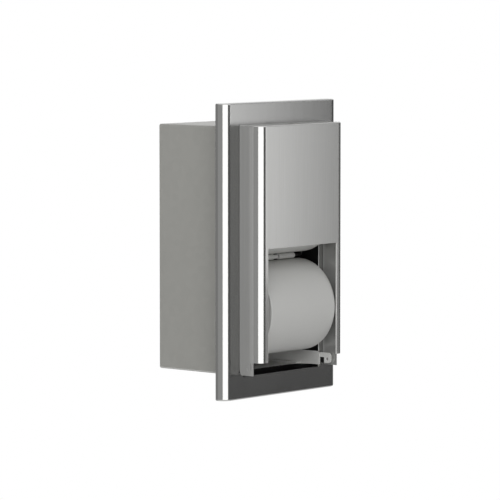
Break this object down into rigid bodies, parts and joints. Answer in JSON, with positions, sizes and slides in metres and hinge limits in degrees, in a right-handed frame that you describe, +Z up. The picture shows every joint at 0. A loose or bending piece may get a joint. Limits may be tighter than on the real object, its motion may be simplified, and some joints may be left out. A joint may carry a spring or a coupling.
{
  "type": "toilet paper dispenser",
  "caption": "Recessed stainless steel toilet paper dispenser: wall flange, in-wall box, hinged lockable cover with open window, roll in use and reserve roll above on a swing bail.",
  "frame": {"origin": "middle of the wall opening, in the plane of the wall's face where the flange's edge rests", "axes": "+X to the right seen from the room, +Y into the wall, +Z up"},
  "size_m": [0.22, 0.1714, 0.37],
  "materials": {
    "satin_steel": "satin, brushed upright",
    "zinc_sheet": "dull zinc coat",
    "black_coat": "black powder coat",
    "black_rubber": "matt",
    "bright_hardware": "smooth",
    "lock_metal": "bright plated",
    "black_plastic": "fine moulded grain",
    "pale_plastic": "smooth moulded",
    "core_board": "raw board",
    "tissue_paper": "soft embossed tissue"
  },
  "bodies": {
    "housing": {"recess_box": "zinc_sheet", "wall_flange": "satin_steel", "flange_studs": "bright_hardware", "flange_nuts": "bright_hardware", "finger_tray": "black_plastic", "hinge_bracket_right": "zinc_sheet", "hinge_bracket_left": "zinc_sheet", "bracket_rivets": "bright_hardware", "hinge_pins": "bright_hardware", "hinge_washers": "zinc_sheet", "side_guide_right": "black_coat", "side_guide_left": "black_coat", "guide_foot_right": "zinc_sheet", "guide_foot_left": "zinc_sheet", "end_stops": "black_coat", "hinge_pads": "black_rubber", "guide_bosses": "zinc_sheet", "guide_screws": "bright_hardware", "lock_keeper": "zinc_sheet", "keeper_pin": "bright_hardware", "keeper_rivets": "bright_hardware"},
    "cover": {"front_cover": "satin_steel", "lock_housing": "lock_metal"},
    "lock": {"lock_plug": "lock_metal", "lock_cam": "bright_hardware", "cam_screw": "bright_hardware"},
    "bail": {"release_bail": "black_coat", "bail_hub": "pale_plastic", "bail_rollers": "pale_plastic"},
    "lower_paper": {"lower_spindle": "pale_plastic", "lower_core": "core_board", "lower_roll": "tissue_paper"},
    "upper_paper": {"upper_spindle": "pale_plastic", "upper_core": "core_board", "upper_roll": "tissue_paper"}
  },
  "joints": [
    {"name": "cover_hinge", "type": "hinge", "parent": "housing", "child": "cover", "pos_m": [0, -0.0259, -0.1466], "axis": [1, 0, 0], "range_deg": [0, 100]},
    {"name": "lock_turn", "type": "hinge", "parent": "cover", "child": "lock", "pos_m": [0, -0.036, 0.145], "axis": [0, 0, 1], "range_deg": [0, 90]},
    {"name": "bail_swing", "type": "hinge", "parent": "housing", "child": "bail", "pos_m": [0, 0.0121, 0.082], "axis": [-1, 0, 0], "range_deg": [0, 25]},
    {"name": "lower_roll_spin", "type": "hinge", "parent": "housing", "child": "lower_paper", "pos_m": [0, 0.0121, -0.0769], "axis": [1, 0, 0], "continuous": true},
    {"name": "upper_roll_spin", "type": "hinge", "parent": "housing", "child": "upper_paper", "pos_m": [0, 0.0121, 0.0496], "axis": [1, 0, 0], "continuous": true}
  ]
}
